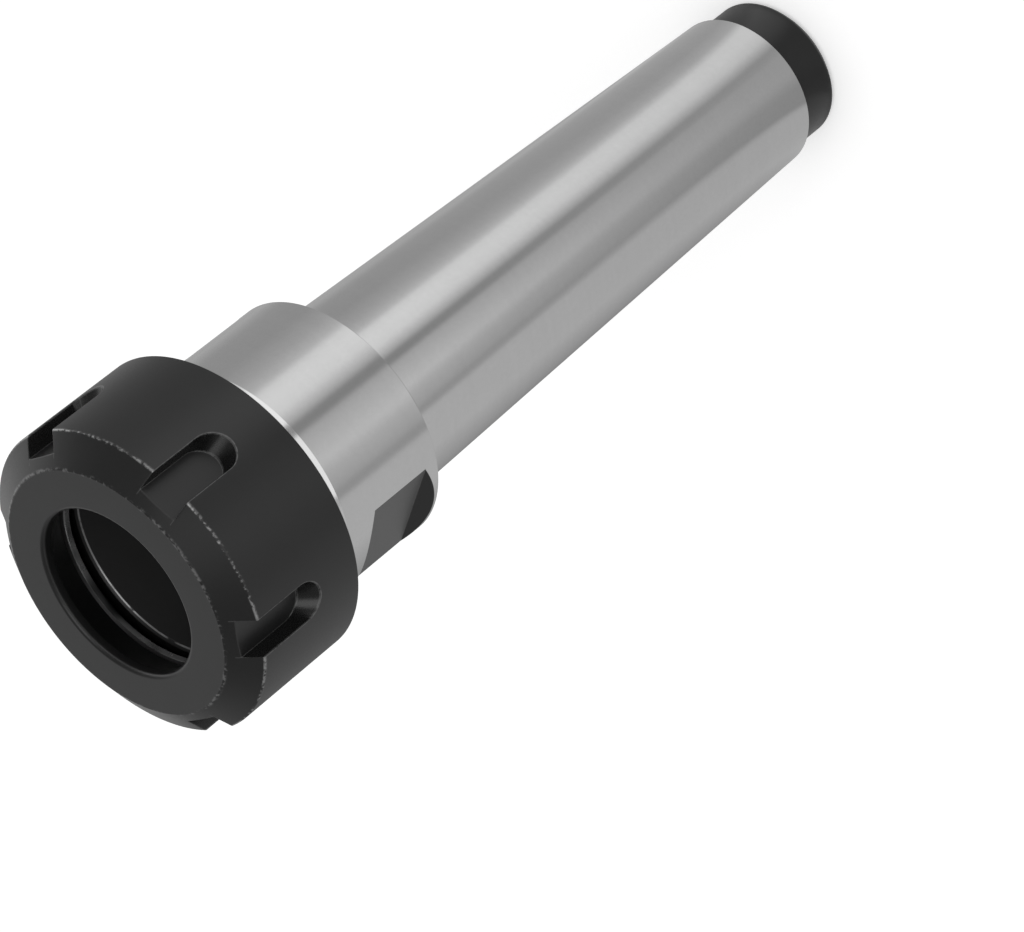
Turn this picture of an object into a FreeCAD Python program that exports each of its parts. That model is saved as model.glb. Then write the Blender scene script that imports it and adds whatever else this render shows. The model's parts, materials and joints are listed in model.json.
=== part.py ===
import FreeCAD, Part
import math
import os

from FreeCAD import Vector

# A collet chuck on a Morse taper 4 shank, in millimetres, in two pieces.
#
# The chuck body is one turned bar: a black unground tail stub with a drawbar thread, the ground
# taper, a collar with two spanner flats, and a threaded nose with the taper seat for a size 32
# collet. The clamping nut screws onto the nose, and six slots take a hook spanner.
#
# Z is the common axis. The tail's end face is at Z = 0, the nut is at the top, and the two
# spanner flats face +X and -X.

# ---------------------------------------------------------------- driving sizes: the shank
GAUGE_DIAMETER = 31.267          # Morse taper 4, at its gauge line
TAPER_RATIO = 1 / 19.254         # diameter lost for each millimetre along the shank
GAUGE_LINE_TO_TAIL = 102.5
GAUGE_LINE_TO_COLLAR = 6.5
TAPER_END_CHAMFER = 0.5
STUB_STEP = 1.2                  # the unground stub's radius lies this far under the taper's end
STUB_LENGTH = 8.5
STUB_CHAMFER = 1.0

# ---------------------------------------------------------------- driving sizes: the drawbar hole
DRAWBAR_THREAD_DIAMETER = 16.0   # M16 coarse, drawn at its major diameter
DRAWBAR_THREAD_DEPTH = 32.0
DRAWBAR_DRILL_DIAMETER = 14.0
DRAWBAR_DRILL_DEPTH = 40.0
DRILL_POINT_ANGLE = 118.0
CENTRE_CONE_RIM = 0.75           # radius that the centre cone adds to the thread's at the end face
CENTRE_CONE_ANGLE = 60.0

# ---------------------------------------------------------------- driving sizes: the collet seat
SEAT_MOUTH_DIAMETER = 33.0       # collet size 32
SEAT_HALF_ANGLE = 8.0
SEAT_DEPTH = 34.0
SEAT_MOUTH_CHAMFER = 0.5
TOOL_BORE_STEP = 1.2             # the tool bore's radius lies this far inside the seat's deep end
WEB = 20.0                       # solid steel between the tool bore and the drawbar hole

# ---------------------------------------------------------------- driving sizes: nose and collar
NOSE_WALL = 3.5                  # from the seat's mouth to the crest of the nose thread
NOSE_LENGTH = 17.5               # from the collar's front edge to the nose's end face
NOSE_CHAMFER = 1.0
RELIEF_DEPTH = 1.4               # groove between thread and collar
RELIEF_WIDTH = 0.8
COLLAR_LENGTH = 19.7             # without its lead
COLLAR_LEAD_DROP = 0.4           # slight cone in front of the collar, where the nut turns past
COLLAR_LEAD_LENGTH = 1.4
COLLAR_BACK_CHAMFER = 0.2
FLAT_DEPTH = 2.0                 # below the collar's surface, so 36 mm across the two flats
FLAT_BACK_MARGIN = 2.7           # collar left behind the floor of a flat
FLAT_FRONT_MARGIN = 5.8          # collar left in front of it
FLAT_END_ANGLE = 45.0            # slope of the flat's two end walls

# ---------------------------------------------------------------- driving sizes: the clamping nut
THREAD_CLEARANCE = 0.05          # radial, between the crests of the nose and the nut's bore
THREAD_ENGAGEMENT = 13.4         # length of nose inside the nut as it stands
NOSE_GAP = 0.5                   # from the nose's end face to the shoulder inside the nut
NUT_WALL = 5.0                   # from the thread to the outside
NUT_FRONT_LENGTH = 9.3           # from the front face to the shoulder inside
NUT_OPENING_STEP = 2.8           # the opening's radius lies this far inside the seat's mouth
NUT_OPENING_ROUNDING = 0.7
NUT_OPENING_LAND = 1.7           # depth of the opening before the cone starts
PRESSING_CONE_HALF_ANGLE = 30.0  # the cone that pushes the collet in
PRESSING_CONE_CLEARANCE = 0.05   # radial, around the collet's head where the cone ends
LIP_HEIGHT = 0.6                 # the lip pulls the collet out
LIP_LENGTH = 1.3
LIP_OFFSET = 0.25                # the lip is bored off centre, so that a collet snaps in
NUT_RELIEF_DEPTH = 0.4           # thread runout groove at the shoulder
NUT_RELIEF_WIDTH = 1.6
RIM_POCKET_STEP = 1.5            # how far the pocket behind the lip stays inside the thread
FRONT_CONE_WIDTH = 4.5           # radial width of the shallow cone around the flat front face
FRONT_CONE_LENGTH = 3.1          # from the front face to where that cone meets the outside
FACE_EDGE_DROP = 0.15            # broken edge between the flat face and the cone
FACE_EDGE_WIDTH = 0.25
FRONT_CONE_ROUNDING = 0.3
NUT_BACK_CHAMFER = 0.2
NUT_BORE_CHAMFER = 1.0
SLOT_COUNT = 6
SLOT_WIDTH = 6.4
SLOT_DEPTH = 3.0
SLOT_LENGTH = 15.4               # from the front face, measured at the nut's surface
SLOT_END_LEAN = 2.0              # how much shorter the slot is at its floor
SLOT_PHASE = 25.0                # degrees from +X to the first slot, as the nut stands

# How far a cutting shape runs past the face that it opens.
OVERRUN = 5.0

# ---------------------------------------------------------------- sizes worked out from those
thread_radius = SEAT_MOUTH_DIAMETER / 2 + NOSE_WALL
collar_radius = thread_radius
relief_radius = thread_radius - RELIEF_DEPTH
nut_bore_radius = thread_radius + THREAD_CLEARANCE
nut_radius = thread_radius + NUT_WALL
nut_length = NUT_FRONT_LENGTH + NOSE_GAP + THREAD_ENGAGEMENT

gauge_line = GAUGE_LINE_TO_TAIL
collar_back = gauge_line + GAUGE_LINE_TO_COLLAR
collar_front = collar_back + COLLAR_LENGTH
nose_end = collar_front + NOSE_LENGTH
nut_back = nose_end - THREAD_ENGAGEMENT
nut_front = nut_back + nut_length
nut_shoulder = nut_front - NUT_FRONT_LENGTH


def taper_radius(height):
    """Radius of the Morse taper at a height above the tail."""
    return (GAUGE_DIAMETER + (height - gauge_line) * TAPER_RATIO) / 2


def slope(half_angle):
    """Radius gained for each millimetre along a cone."""
    return math.tan(math.radians(half_angle))


def turned(outline):
    """A solid turned about Z from corners of (radius, height) or (radius, height, rounding)."""
    corners = [Vector(corner[0], 0, corner[1]) for corner in outline]
    roundings = [corner[2] if len(corner) > 2 else 0 for corner in outline]
    edges = []
    leaving = []
    arriving = []
    for index, here in enumerate(corners):
        back = (corners[index - 1] - here).normalize()
        ahead = (corners[(index + 1) % len(corners)] - here).normalize()
        if roundings[index] == 0:
            arriving.append(here)
            leaving.append(here)
            continue
        half = back.getAngle(ahead) / 2
        setback = roundings[index] / math.tan(half)
        sagitta = roundings[index] / math.sin(half) - roundings[index]
        start = here + back * setback
        middle = here + (back + ahead).normalize() * sagitta
        end = here + ahead * setback
        arriving.append(start)
        leaving.append(end)
        edges.append(Part.Arc(start, middle, end).toShape())
    for index in range(len(corners)):
        following = (index + 1) % len(corners)
        edges.append(Part.LineSegment(leaving[index], arriving[following]).toShape())
    wire = Part.Wire(Part.__sortEdges__(edges))
    return Part.Face(wire).revolve(Vector(0, 0, 0), Vector(0, 0, 1), 360)


def body_blank():
    """The chuck body's outside: stub, taper, collar, relief groove and threaded nose."""
    taper_end = taper_radius(STUB_LENGTH)
    stub_radius = taper_end - STUB_STEP
    lead_front = collar_front + COLLAR_LEAD_LENGTH
    relief_back = lead_front + RELIEF_DEPTH - COLLAR_LEAD_DROP
    relief_front = relief_back + RELIEF_WIDTH
    return turned([
        (0, 0),
        (stub_radius - STUB_CHAMFER, 0),
        (stub_radius, STUB_CHAMFER),
        (stub_radius, STUB_LENGTH),
        (taper_end - TAPER_END_CHAMFER, STUB_LENGTH),
        (taper_end, STUB_LENGTH + TAPER_END_CHAMFER),
        (taper_radius(collar_back), collar_back),
        (collar_radius - COLLAR_BACK_CHAMFER, collar_back),
        (collar_radius, collar_back + COLLAR_BACK_CHAMFER),
        (collar_radius, collar_front),
        (collar_radius - COLLAR_LEAD_DROP, lead_front),
        (relief_radius, relief_back),
        (relief_radius, relief_front),
        (thread_radius, relief_front + RELIEF_DEPTH),
        (thread_radius, nose_end - NOSE_CHAMFER),
        (thread_radius - NOSE_CHAMFER, nose_end),
        (0, nose_end),
    ])


def drill(radius, mouth, depth, direction):
    """A drilled hole's solid on the axis, from a mouth's height, with the drill's point."""
    point = radius / slope(DRILL_POINT_ANGLE / 2)
    bottom = mouth + direction * depth
    return turned([
        (0, mouth - direction * OVERRUN),
        (radius, mouth - direction * OVERRUN),
        (radius, bottom),
        (0, bottom + direction * point),
    ])


def drawbar_hole():
    """The centre cone, the M16 thread at its major diameter and the drilled hole behind it."""
    thread = DRAWBAR_THREAD_DIAMETER / 2
    rim = thread + CENTRE_CONE_RIM
    narrowing = slope(CENTRE_CONE_ANGLE / 2)
    cone = turned([
        (0, -OVERRUN),
        (rim + OVERRUN * narrowing, -OVERRUN),
        (thread, CENTRE_CONE_RIM / narrowing),
        (0, CENTRE_CONE_RIM / narrowing),
    ])
    tapped = Part.makeCylinder(thread, DRAWBAR_THREAD_DEPTH)
    drilled = drill(DRAWBAR_DRILL_DIAMETER / 2, 0, DRAWBAR_DRILL_DEPTH, 1)
    return cone.fuse([tapped, drilled])


def collet_socket():
    """The 8 degree seat, its chamfered mouth and the bore for long tool shanks."""
    mouth = SEAT_MOUTH_DIAMETER / 2
    deep_end = mouth - SEAT_DEPTH * slope(SEAT_HALF_ANGLE)
    seat = turned([
        (0, nose_end - SEAT_DEPTH),
        (deep_end, nose_end - SEAT_DEPTH),
        (mouth, nose_end),
        (0, nose_end),
    ])
    chamfer = turned([
        (0, nose_end - SEAT_MOUTH_CHAMFER),
        (mouth, nose_end - SEAT_MOUTH_CHAMFER),
        (mouth + SEAT_MOUTH_CHAMFER + OVERRUN, nose_end + OVERRUN),
        (0, nose_end + OVERRUN),
    ])
    drawbar_tip = DRAWBAR_DRILL_DEPTH + DRAWBAR_DRILL_DIAMETER / 2 / slope(DRILL_POINT_ANGLE / 2)
    tool_radius = deep_end - TOOL_BORE_STEP
    tool_tip = tool_radius / slope(DRILL_POINT_ANGLE / 2)
    tool_bottom = drawbar_tip + WEB + tool_tip
    bore = drill(tool_radius, nose_end, nose_end - tool_bottom, -1)
    return seat.fuse([chamfer, bore])


def spanner_flat():
    """What is milled off the collar for one flat, facing +X, with sloping ends."""
    floor = collar_radius - FLAT_DEPTH
    bottom = collar_back + FLAT_BACK_MARGIN
    top = collar_front - FLAT_FRONT_MARGIN
    reach = FLAT_DEPTH + OVERRUN
    spread = reach * slope(FLAT_END_ANGLE)
    corners = [
        Vector(floor, -collar_radius, bottom),
        Vector(floor + reach, -collar_radius, bottom - spread),
        Vector(floor + reach, -collar_radius, top + spread),
        Vector(floor, -collar_radius, top),
    ]
    section = Part.Face(Part.makePolygon(corners + corners[:1]))
    return section.extrude(Vector(0, 2 * collar_radius, 0))


def chuck_body():
    """The one-piece body with its two flats, its collet socket and its drawbar hole."""
    flat = spanner_flat()
    opposite = flat.copy()
    opposite.rotate(Vector(0, 0, 0), Vector(0, 0, 1), 180)
    return body_blank().cut([flat, opposite, collet_socket(), drawbar_hole()])


def nut_blank():
    """The nut's outside: flat face, broken edge, shallow front cone and cylinder."""
    cone_start = nut_radius - FRONT_CONE_WIDTH
    return turned([
        (0, nut_front),
        (cone_start - FACE_EDGE_WIDTH, nut_front),
        (cone_start, nut_front - FACE_EDGE_DROP),
        (nut_radius, nut_front - FRONT_CONE_LENGTH, FRONT_CONE_ROUNDING),
        (nut_radius, nut_back + NUT_BACK_CHAMFER),
        (nut_radius - NUT_BACK_CHAMFER, nut_back),
        (0, nut_back),
    ])


def nut_bore():
    """Opening, pressing cone, off-centre lip, rim pocket, runout groove and thread bore."""
    opening = SEAT_MOUTH_DIAMETER / 2 - NUT_OPENING_STEP
    cone_radius = SEAT_MOUTH_DIAMETER / 2 + PRESSING_CONE_CLEARANCE
    cone_start = nut_front - NUT_OPENING_LAND
    cone_end = cone_start - (cone_radius - opening) / slope(PRESSING_CONE_HALF_ANGLE)
    lip_radius = cone_radius - LIP_HEIGHT
    lip_back = cone_end - LIP_LENGTH
    pocket_radius = nut_bore_radius - RIM_POCKET_STEP
    groove_radius = nut_bore_radius + NUT_RELIEF_DEPTH
    groove_back = nut_shoulder - NUT_RELIEF_WIDTH
    flare = NUT_OPENING_ROUNDING
    front = turned([
        (0, nut_front + OVERRUN),
        (opening + flare + OVERRUN, nut_front + OVERRUN),
        (opening + flare, nut_front),
        (opening, nut_front - flare, flare),
        (opening, cone_start),
        (cone_radius, cone_end),
        (0, cone_end),
    ])
    lip = turned([
        (0, cone_end),
        (cone_radius, cone_end),
        (lip_radius, cone_end - LIP_HEIGHT / 2),
        (lip_radius, lip_back - OVERRUN),
        (0, lip_back - OVERRUN),
    ])
    lip.translate(Vector(0, LIP_OFFSET, 0))
    back = turned([
        (0, lip_back),
        (pocket_radius, lip_back),
        (pocket_radius, nut_shoulder),
        (groove_radius, nut_shoulder),
        (groove_radius, groove_back),
        (nut_bore_radius, groove_back - NUT_RELIEF_DEPTH),
        (nut_bore_radius, nut_back + NUT_BORE_CHAMFER),
        (nut_bore_radius + NUT_BORE_CHAMFER + OVERRUN, nut_back - OVERRUN),
        (0, nut_back - OVERRUN),
    ])
    return front.fuse([lip, back])


def spanner_slot(angle):
    """What the end mill takes out for one slot: open at the front, round and leaning at its end."""
    half = SLOT_WIDTH / 2
    floor = nut_radius - SLOT_DEPTH
    centre = nut_front - SLOT_LENGTH + SLOT_END_LEAN + half
    start = nut_front + OVERRUN
    cut_height = SLOT_DEPTH + OVERRUN
    left = Vector(floor, -half, centre)
    right = Vector(floor, half, centre)
    tip = Vector(floor, 0, centre - half)
    left_start = Vector(floor, -half, start)
    right_start = Vector(floor, half, start)
    outline = Part.Wire([
        Part.LineSegment(left_start, left).toShape(),
        Part.Arc(left, tip, right).toShape(),
        Part.LineSegment(right, right_start).toShape(),
        Part.LineSegment(right_start, left_start).toShape(),
    ])
    lean = SLOT_END_LEAN / SLOT_DEPTH * cut_height
    slot = Part.Face(outline).extrude(Vector(cut_height, 0, -lean))
    slot.rotate(Vector(0, 0, 0), Vector(0, 0, 1), angle)
    return slot


def clamping_nut():
    """The nut as it stands on the nose."""
    step = 360 / SLOT_COUNT
    slots = [spanner_slot(SLOT_PHASE + step * index) for index in range(SLOT_COUNT)]
    return nut_blank().cut([nut_bore()] + slots)


def write(name, shape):
    """Check that a piece is one sound solid, and write it."""
    if not shape.isValid() or len(shape.Solids) != 1:
        raise ValueError(f"{name} is not one sound solid")
    box = shape.optimalBoundingBox()
    print(f"{name}: {shape.Volume:.0f} mm3, Z {box.ZMin:.2f} to {box.ZMax:.2f}, {box.XLength:.2f} wide")
    shape.Solids[0].exportStep(os.path.join("parts", name + ".step"))


os.makedirs("parts", exist_ok=True)
write("chuck_body", chuck_body())
write("clamping_nut", clamping_nut())
print(f"whole length {nut_front:.2f} mm, nut {nut_length:.2f} mm long and {2 * nut_radius:.2f} mm across")
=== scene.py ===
# %% [markdown]
# # A collet chuck on a Morse taper shank
# The chuck is two turned pieces of steel: a body made from one bar, and a clamping nut that
# screws onto its nose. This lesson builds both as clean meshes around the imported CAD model,
# gives each its finish, and sets a small product studio around them.
#
# The CAD model is the frame. It says where each piece is and how large, so it is loaded first,
# and every size of the chuck either comes from it or is a named value in millimetres.

# %% Load the frame
import json
import math

import bmesh
import bpy
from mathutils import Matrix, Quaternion, Vector


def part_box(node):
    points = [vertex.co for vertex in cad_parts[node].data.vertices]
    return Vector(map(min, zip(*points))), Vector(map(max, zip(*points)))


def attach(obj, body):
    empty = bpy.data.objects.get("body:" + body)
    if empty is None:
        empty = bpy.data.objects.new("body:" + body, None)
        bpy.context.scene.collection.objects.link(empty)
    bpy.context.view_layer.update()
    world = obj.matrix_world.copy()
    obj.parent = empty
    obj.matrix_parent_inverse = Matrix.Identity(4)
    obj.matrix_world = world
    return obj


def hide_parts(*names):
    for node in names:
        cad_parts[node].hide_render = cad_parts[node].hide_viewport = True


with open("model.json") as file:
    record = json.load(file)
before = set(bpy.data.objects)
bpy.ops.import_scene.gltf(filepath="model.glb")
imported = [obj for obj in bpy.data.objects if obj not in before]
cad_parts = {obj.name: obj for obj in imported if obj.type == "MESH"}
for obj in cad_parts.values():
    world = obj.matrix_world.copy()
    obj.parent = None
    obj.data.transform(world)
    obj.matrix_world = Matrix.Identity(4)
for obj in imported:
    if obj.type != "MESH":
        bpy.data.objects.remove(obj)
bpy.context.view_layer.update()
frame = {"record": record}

# %% [markdown]
# ## Sizes from the frame
# The record's mounts are the chuck's real interfaces, so they carry the sizes that matter:
# the gauge line and radius of the taper, the mouth of the collet seat, the drawbar thread, the
# spanner flats and the nut's opening. The two boxes give the ends and the widest radius of each
# piece. Reading them keeps this model and the CAD model the same size.

# %% Read the sizes
MM = 0.001
mounts = {mount["name"]: mount for mount in frame["record"]["mounts"]}


def place(name):
    """A mount's position, in millimetres."""
    return Vector(mounts[name]["pos_m"]) / MM


def size(name, key):
    """One of a mount's dimensions, in millimetres."""
    return mounts[name]["dims"][key]


body_low, body_high = (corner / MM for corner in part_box("chuck_body"))
nut_low, nut_high = (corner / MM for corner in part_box("clamping_nut"))
tail, nose_end, collar_radius = body_low.z, body_high.z, body_high.x
nut_back, nut_front, nut_radius = nut_low.z, nut_high.z, nut_high.y
gauge_line, gauge_radius = place("shank_taper").z, size("shank_taper", "r_mm")
seat_mouth, seat_depth = size("collet_seat", "r_mm"), size("collet_seat", "length_mm")
drawbar_radius, drawbar_length = size("drawbar_thread", "r_mm"), size("drawbar_thread", "length_mm")
opening_radius = size("nut_opening", "r_mm")
flat_distance, flat_middle = place("spanner_flat_plus_x").x, place("spanner_flat_plus_x").z
print(f"body {nose_end - tail:.1f} mm long, collar radius {collar_radius:.2f} mm")
print(f"nut from {nut_back:.1f} to {nut_front:.1f} mm, radius {nut_radius:.2f} mm")

# %% [markdown]
# ## Writing node trees as Python
# Both the shapes and the finishes are node trees, and a tree of any size is hard to follow as a
# list of links. So one class wraps an output socket and lets Python's own arithmetic add the
# Math nodes, and one method adds any other node: its type, then its settings, then the values
# or wires of its sockets.

# %% The two helper classes


class Wire:
    """An output socket that arithmetic can be done on."""

    def __init__(self, board, socket):
        self.board = board
        self.socket = socket

    def output(self, name):
        """Another output of the same node."""
        return Wire(self.board, self.board.find(self.socket.node.outputs, name))

    def maths(self, operation, *values):
        return self.board.add("ShaderNodeMath", {"operation": operation}, dict(enumerate(values)))

    def unary(self, operation):
        return self.maths(operation, self)

    def __add__(self, other):
        return self.maths("ADD", self, other)

    def __sub__(self, other):
        return self.maths("SUBTRACT", self, other)

    def __rsub__(self, other):
        return self.maths("SUBTRACT", other, self)

    def __mul__(self, other):
        return self.maths("MULTIPLY", self, other)

    def __truediv__(self, other):
        return self.maths("DIVIDE", self, other)

    def __pow__(self, other):
        return self.maths("POWER", self, other)

    def __neg__(self):
        return self.maths("MULTIPLY", self, -1.0)

    def __abs__(self):
        return self.unary("ABSOLUTE")

    def __mod__(self, other):
        return self.maths("FLOORED_MODULO", self, other)

    def __gt__(self, other):
        return self.maths("GREATER_THAN", self, other)

    def __lt__(self, other):
        return self.maths("LESS_THAN", self, other)

    __radd__ = __add__
    __rmul__ = __mul__

    def least(self, other):
        return self.maths("MINIMUM", self, other)

    def most(self, other):
        return self.maths("MAXIMUM", self, other)


class Board:
    """A node tree that is filled by plain calls."""

    def __init__(self, tree):
        self.tree = tree

    def find(self, sockets, key):
        """A socket by its number, or the first one of that name that is in use."""
        if isinstance(key, int):
            return sockets[key]
        return next(socket for socket in sockets if socket.name == key and socket.enabled)

    def add(self, kind, settings=None, sockets=None):
        """Add a node, and give back the wire of its first output."""
        node = self.tree.nodes.new(kind)
        for name, value in (settings or {}).items():
            if name == "stops":
                self.set_stops(node.color_ramp, value)
            else:
                setattr(node, name, value)
        for key, value in (sockets or {}).items():
            for wire in value if isinstance(value, list) else [value]:
                self.feed(self.find(node.inputs, key), wire)
        used = [socket for socket in node.outputs if socket.enabled]
        return Wire(self, used[0]) if used else node

    def feed(self, socket, value):
        if isinstance(value, Wire):
            self.tree.links.new(value.socket, socket)
        else:
            socket.default_value = value

    def set_stops(self, ramp, stops):
        while len(ramp.elements) < len(stops):
            ramp.elements.new(1.0)
        for element, (position, grey) in zip(ramp.elements, stops):
            element.position = position
            element.color = (grey, grey, grey, 1.0)


print("helpers ready")

# %% [markdown]
# ## Two finishes
# Everything here is one of two finishes: ground steel, left bright, or steel blackened in a hot
# oxide bath. Each gets a material now, so that the pieces can name it, and its nodes further on.

# %% Name the finishes
bright_steel = bpy.data.materials.new("bright_steel")
black_steel = bpy.data.materials.new("black_steel")
print("finishes:", bright_steel.name, black_steel.name)

# %% [markdown]
# ## Turning a section on the lathe
# Nearly every surface of the chuck is turned, so it is fully described by half a section: a
# line of corners, each with a radius, a height and how far that corner is broken. It could be
# spun with a Screw modifier, but then the corners would have to be rounded by hand first.
#
# Geometry Nodes does both. `Fillet Curve` rounds each corner by its own stored amount, and
# `Curve to Mesh` sweeps the section round a circle. The circle has a radius of its own, so the
# section is first moved inwards by that radius.

# %% The lathe as a node group
SWEEP_RADIUS = 10 * MM
ROUNDING_STEPS = 4
HEALING_DISTANCE = 0.001 * MM
GEOMETRY = "NodeSocketGeometry"
NUMBER = "NodeSocketFloat"
COUNT = "NodeSocketInt"
FINISH = "NodeSocketMaterial"


def new_group(name, inputs):
    """A geometry node group with a mesh in, a mesh out and the named inputs besides."""
    tree = bpy.data.node_groups.new(name, "GeometryNodeTree")
    tree.interface.new_socket("Mesh", in_out="OUTPUT", socket_type=GEOMETRY)
    tree.interface.new_socket("Mesh", in_out="INPUT", socket_type=GEOMETRY)
    for title, kind in inputs.items():
        tree.interface.new_socket(title, in_out="INPUT", socket_type=kind)
    return Board(tree), Board(tree).add("NodeGroupInput")


def finish_group(board, mesh):
    board.add("NodeGroupOutput", {}, {"Mesh": mesh})
    return board.tree


def split(board, vector):
    """The three parts of a vector, as wires."""
    parts = board.add("ShaderNodeSeparateXYZ", {}, {"Vector": vector})
    return parts, parts.output("Y"), parts.output("Z")


def join(board, x, y, z):
    return board.add("ShaderNodeCombineXYZ", {}, {"X": x, "Y": y, "Z": z})


def merge(board, *meshes):
    """Join meshes and weld the points that lie on each other."""
    whole = board.add("GeometryNodeJoinGeometry", {}, {"Geometry": list(meshes)})
    sockets = {"Geometry": whole, "Distance": HEALING_DISTANCE}
    return board.add("GeometryNodeMergeByDistance", {}, sockets)


def lathe_group():
    board, given = new_group("lathe", {"Segments": COUNT})
    section = board.add("GeometryNodeMeshToCurve", {}, {"Mesh": given.output("Mesh")})
    radius, _, height = split(board, board.add("GeometryNodeInputPosition"))
    flat_place = join(board, radius - SWEEP_RADIUS, -height, 0.0)
    section = board.add("GeometryNodeSetPosition", {}, {"Geometry": section, "Position": flat_place})
    rounding = board.add("GeometryNodeInputNamedAttribute", {}, {"Name": "rounding"})
    settings = {"mode": "POLY"}
    sockets = {"Curve": section, "Count": ROUNDING_STEPS, "Radius": rounding, "Limit Radius": True}
    section = board.add("GeometryNodeFilletCurve", settings, sockets)
    sockets = {"Resolution": given.output("Segments"), "Radius": SWEEP_RADIUS}
    circle = board.add("GeometryNodeCurvePrimitiveCircle", {}, sockets)
    turned = board.add("GeometryNodeCurveToMesh", {}, {"Curve": circle, "Profile Curve": section})
    return finish_group(board, merge(board, turned))


lathe = lathe_group()
print("lathe group:", len(lathe.nodes), "nodes")

# %% [markdown]
# ## Cutting a thread
# A thread is a ridge that climbs one pitch in each turn. Sweeping a small profile along a spiral
# and joining it to the rod with a Boolean gives long thin slivers where the two meet. Here the
# thread is a sleeve of its own instead: a grid rolled into a tube, and sheared so that its rows
# climb like the ridge. Each pitch has four rows, one for each corner of the profile.
#
# Rows past either end are pressed flat onto it, and the ridge fades out along a slope there, as
# a chamfer leaves it. So the sleeve ends in two plain rings, which weld to the turned parts.

# %% The thread as a node group
ROWS_PER_PITCH = 4
FLANK_DEGREES = 30.0


def thread_group():
    inputs = {"Segments": COUNT, "Turns": COUNT, "Pitch": NUMBER, "Crest Share": NUMBER}
    inputs.update({"Root": NUMBER, "Depth": NUMBER, "Start": NUMBER, "End": NUMBER})
    inputs.update({"Start Slope": NUMBER, "End Slope": NUMBER})
    board, given = new_group("thread", inputs)
    turns, pitch, depth = (given.output(name) for name in ("Turns", "Pitch", "Depth"))
    start, end = given.output("Start"), given.output("End")
    rows = turns * ROWS_PER_PITCH
    sockets = {"Size X": 1.0, "Size Y": 1.0}
    sockets.update({"Vertices X": given.output("Segments") + 1, "Vertices Y": rows + 1})
    grid = board.add("GeometryNodeMeshGrid", {}, sockets)
    along, across, _ = split(board, board.add("GeometryNodeInputPosition"))
    turn = along + 0.5
    row = ((across + 0.5) * rows).unary("ROUND")
    corner = row % ROWS_PER_PITCH
    flank = abs(depth) * math.tan(math.radians(FLANK_DEGREES))
    crest = pitch * given.output("Crest Share")
    root = pitch - crest - flank * 2.0
    climb = (corner > 0.5) * root + (corner > 1.5) * flank + (corner > 2.5) * crest
    height = start + pitch * (turn + (row / ROWS_PER_PITCH).unary("FLOOR") - 1.0) + climb
    height = height.most(start).least(end)
    ridge = abs(depth) * (corner > 1.5)
    ridge = ridge.least((height - start) * given.output("Start Slope"))
    ridge = ridge.least((end - height) * given.output("End Slope"))
    radius = given.output("Root") + ridge * depth.unary("SIGN")
    angle = turn * math.tau
    spot = join(board, radius * angle.unary("COSINE"), radius * angle.unary("SINE"), height)
    sleeve = board.add("GeometryNodeSetPosition", {}, {"Geometry": grid, "Position": spot})
    sleeve = board.add("GeometryNodeFlipFaces", {}, {"Mesh": sleeve, "Selection": depth > 0.0})
    return finish_group(board, merge(board, sleeve))


thread = thread_group()
print("thread group:", len(thread.nodes), "nodes")

# %% [markdown]
# ## From a list of corners to a plain mesh
# The section is stored as a small mesh of points and edges, with the rounding as an attribute.
# A modifier runs the node group on it. Its result is then read from the evaluated object and
# kept as an ordinary mesh, because a finished piece should carry no live modifiers.
#
# Milled edges are broken by a fine Bevel, only on the edges that the group marks. Weighted
# normals then keep the wide faces flat in the light, while the small roundings stay smooth.

# %% Draw a section, run a node group, keep the mesh
EDGE_BREAK = 0.12
EDGE_BREAK_STEPS = 2
SHARP_DEGREES = 34.0


def draw_section(name, *strands):
    """A mesh of edges along strands of (radius, height) or (radius, height, rounding)."""
    mesh = bpy.data.meshes.new(name)
    corners = [corner for strand in strands for corner in strand]
    edges = []
    for strand in strands:
        first = edges[-1][1] + 1 if edges else 0
        edges += [(first + index, first + index + 1) for index in range(len(strand) - 1)]
    mesh.from_pydata([(corner[0] * MM, 0.0, corner[1] * MM) for corner in corners], edges, [])
    attribute = mesh.attributes.new("rounding", "FLOAT", "POINT")
    for index, corner in enumerate(corners):
        attribute.data[index].value = corner[2] * MM if len(corner) > 2 else 0.0
    piece = bpy.data.objects.new(name, mesh)
    bpy.context.scene.collection.objects.link(piece)
    return piece


def keep_mesh(piece):
    """Replace a piece's mesh by what its modifiers make of it, and drop them."""
    graph = bpy.context.evaluated_depsgraph_get()
    made = bpy.data.meshes.new_from_object(piece.evaluated_get(graph))
    finish = made.materials[-1] if made.materials else None
    made.materials.clear()
    made.materials.append(finish)
    piece.modifiers.clear()
    piece.data = made
    made.name = piece.name


def run_group(piece, tree, values):
    """Run a node group on a piece with the named inputs."""
    modifier = piece.modifiers.new(tree.name, "NODES")
    modifier.node_group = tree
    for item in tree.interface.items_tree:
        if item.in_out == "INPUT" and item.name in values:
            modifier[item.identifier] = values[item.name]
    keep_mesh(piece)


def break_edges(piece):
    """Bevel the edges that the group marked."""
    bevel = piece.modifiers.new("edge break", "BEVEL")
    bevel.limit_method = "WEIGHT"
    bevel.width = EDGE_BREAK * MM
    bevel.segments = EDGE_BREAK_STEPS
    bevel.use_clamp_overlap = False
    keep_mesh(piece)


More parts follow.
